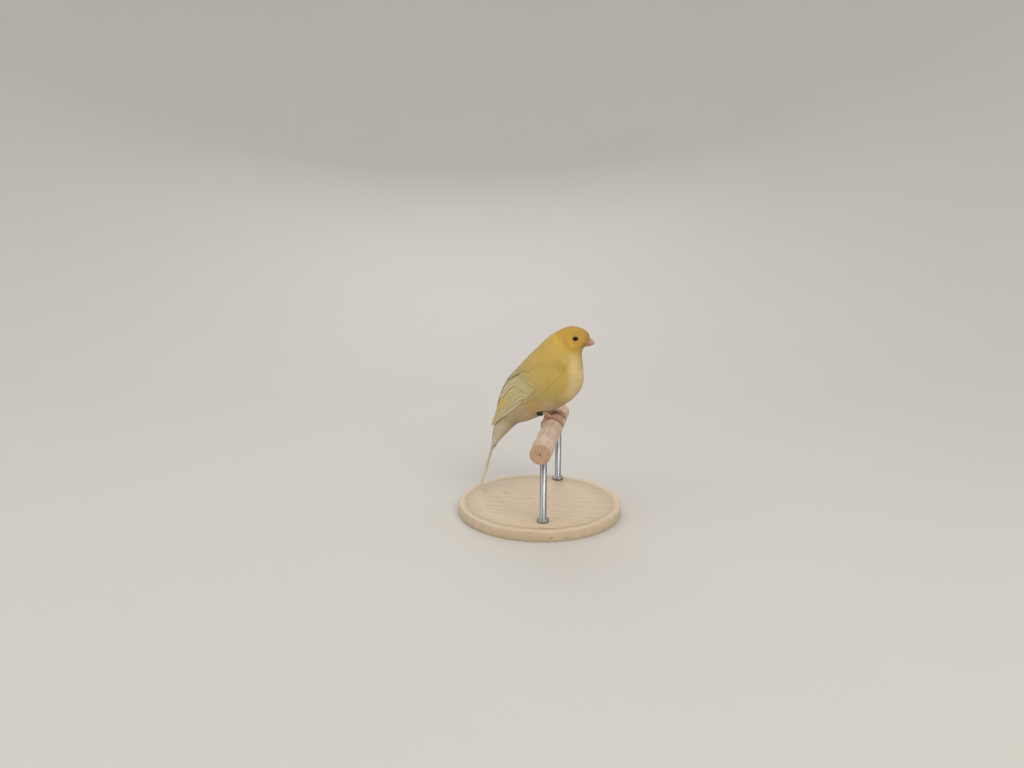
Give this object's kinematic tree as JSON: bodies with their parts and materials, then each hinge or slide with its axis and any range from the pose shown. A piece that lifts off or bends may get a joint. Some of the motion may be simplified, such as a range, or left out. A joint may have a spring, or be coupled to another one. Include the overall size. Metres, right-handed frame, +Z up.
{
  "type": "canary",
  "caption": "Life-size still model of a yellow canary gripping a short cut length of branch on a plain round display stand.",
  "frame": {"origin": "centre of the underside of the display base, on the surface it stands on", "axes": "+X the way the bird faces, +Y along the perch to the bird's left, +Z up"},
  "size_m": [0.12, 0.12, 0.1365],
  "materials": {
    "plumage_head": "deep golden yellow contour feathers, soft and matt",
    "plumage_body": "pale yellow feathers frosted with cream",
    "plumage_wing": "cream white flight feathers edged with pale yellow",
    "plumage_tail": "white tail feathers, yellower at the root",
    "bill_horn": "smooth pinkish horn, satin",
    "eye": "dark brown, wet gloss",
    "leg_skin": "pinkish scaled skin",
    "claw_horn": "brownish translucent horn",
    "ring_green": "dark green anodised ring, satin",
    "perch_wood": "smooth pale pinkish bare branch with a knot",
    "base_wood": "pale limed wood, matt",
    "rod_steel": "brushed round rod"
  },
  "bodies": {
    "root": {"head": "plumage_head", "neck": "plumage_body", "torso": "plumage_body", "wing_right": "plumage_wing", "wing_left": "plumage_wing", "tail": "plumage_tail", "bill_upper": "bill_horn", "bill_lower": "bill_horn", "eye_right": "eye", "eye_left": "eye", "leg_right": "leg_skin", "leg_left": "leg_skin", "foot_right": "leg_skin", "foot_left": "leg_skin", "claw_inner_right": "claw_horn", "claw_middle_right": "claw_horn", "claw_outer_right": "claw_horn", "claw_hind_right": "claw_horn", "claw_inner_left": "claw_horn", "claw_middle_left": "claw_horn", "claw_outer_left": "claw_horn", "claw_hind_left": "claw_horn", "leg_ring": "ring_green", "perch": "perch_wood", "stand_base": "base_wood", "stand_rod_1": "rod_steel", "stand_rod_2": "rod_steel"}
  },
  "joints": []
}
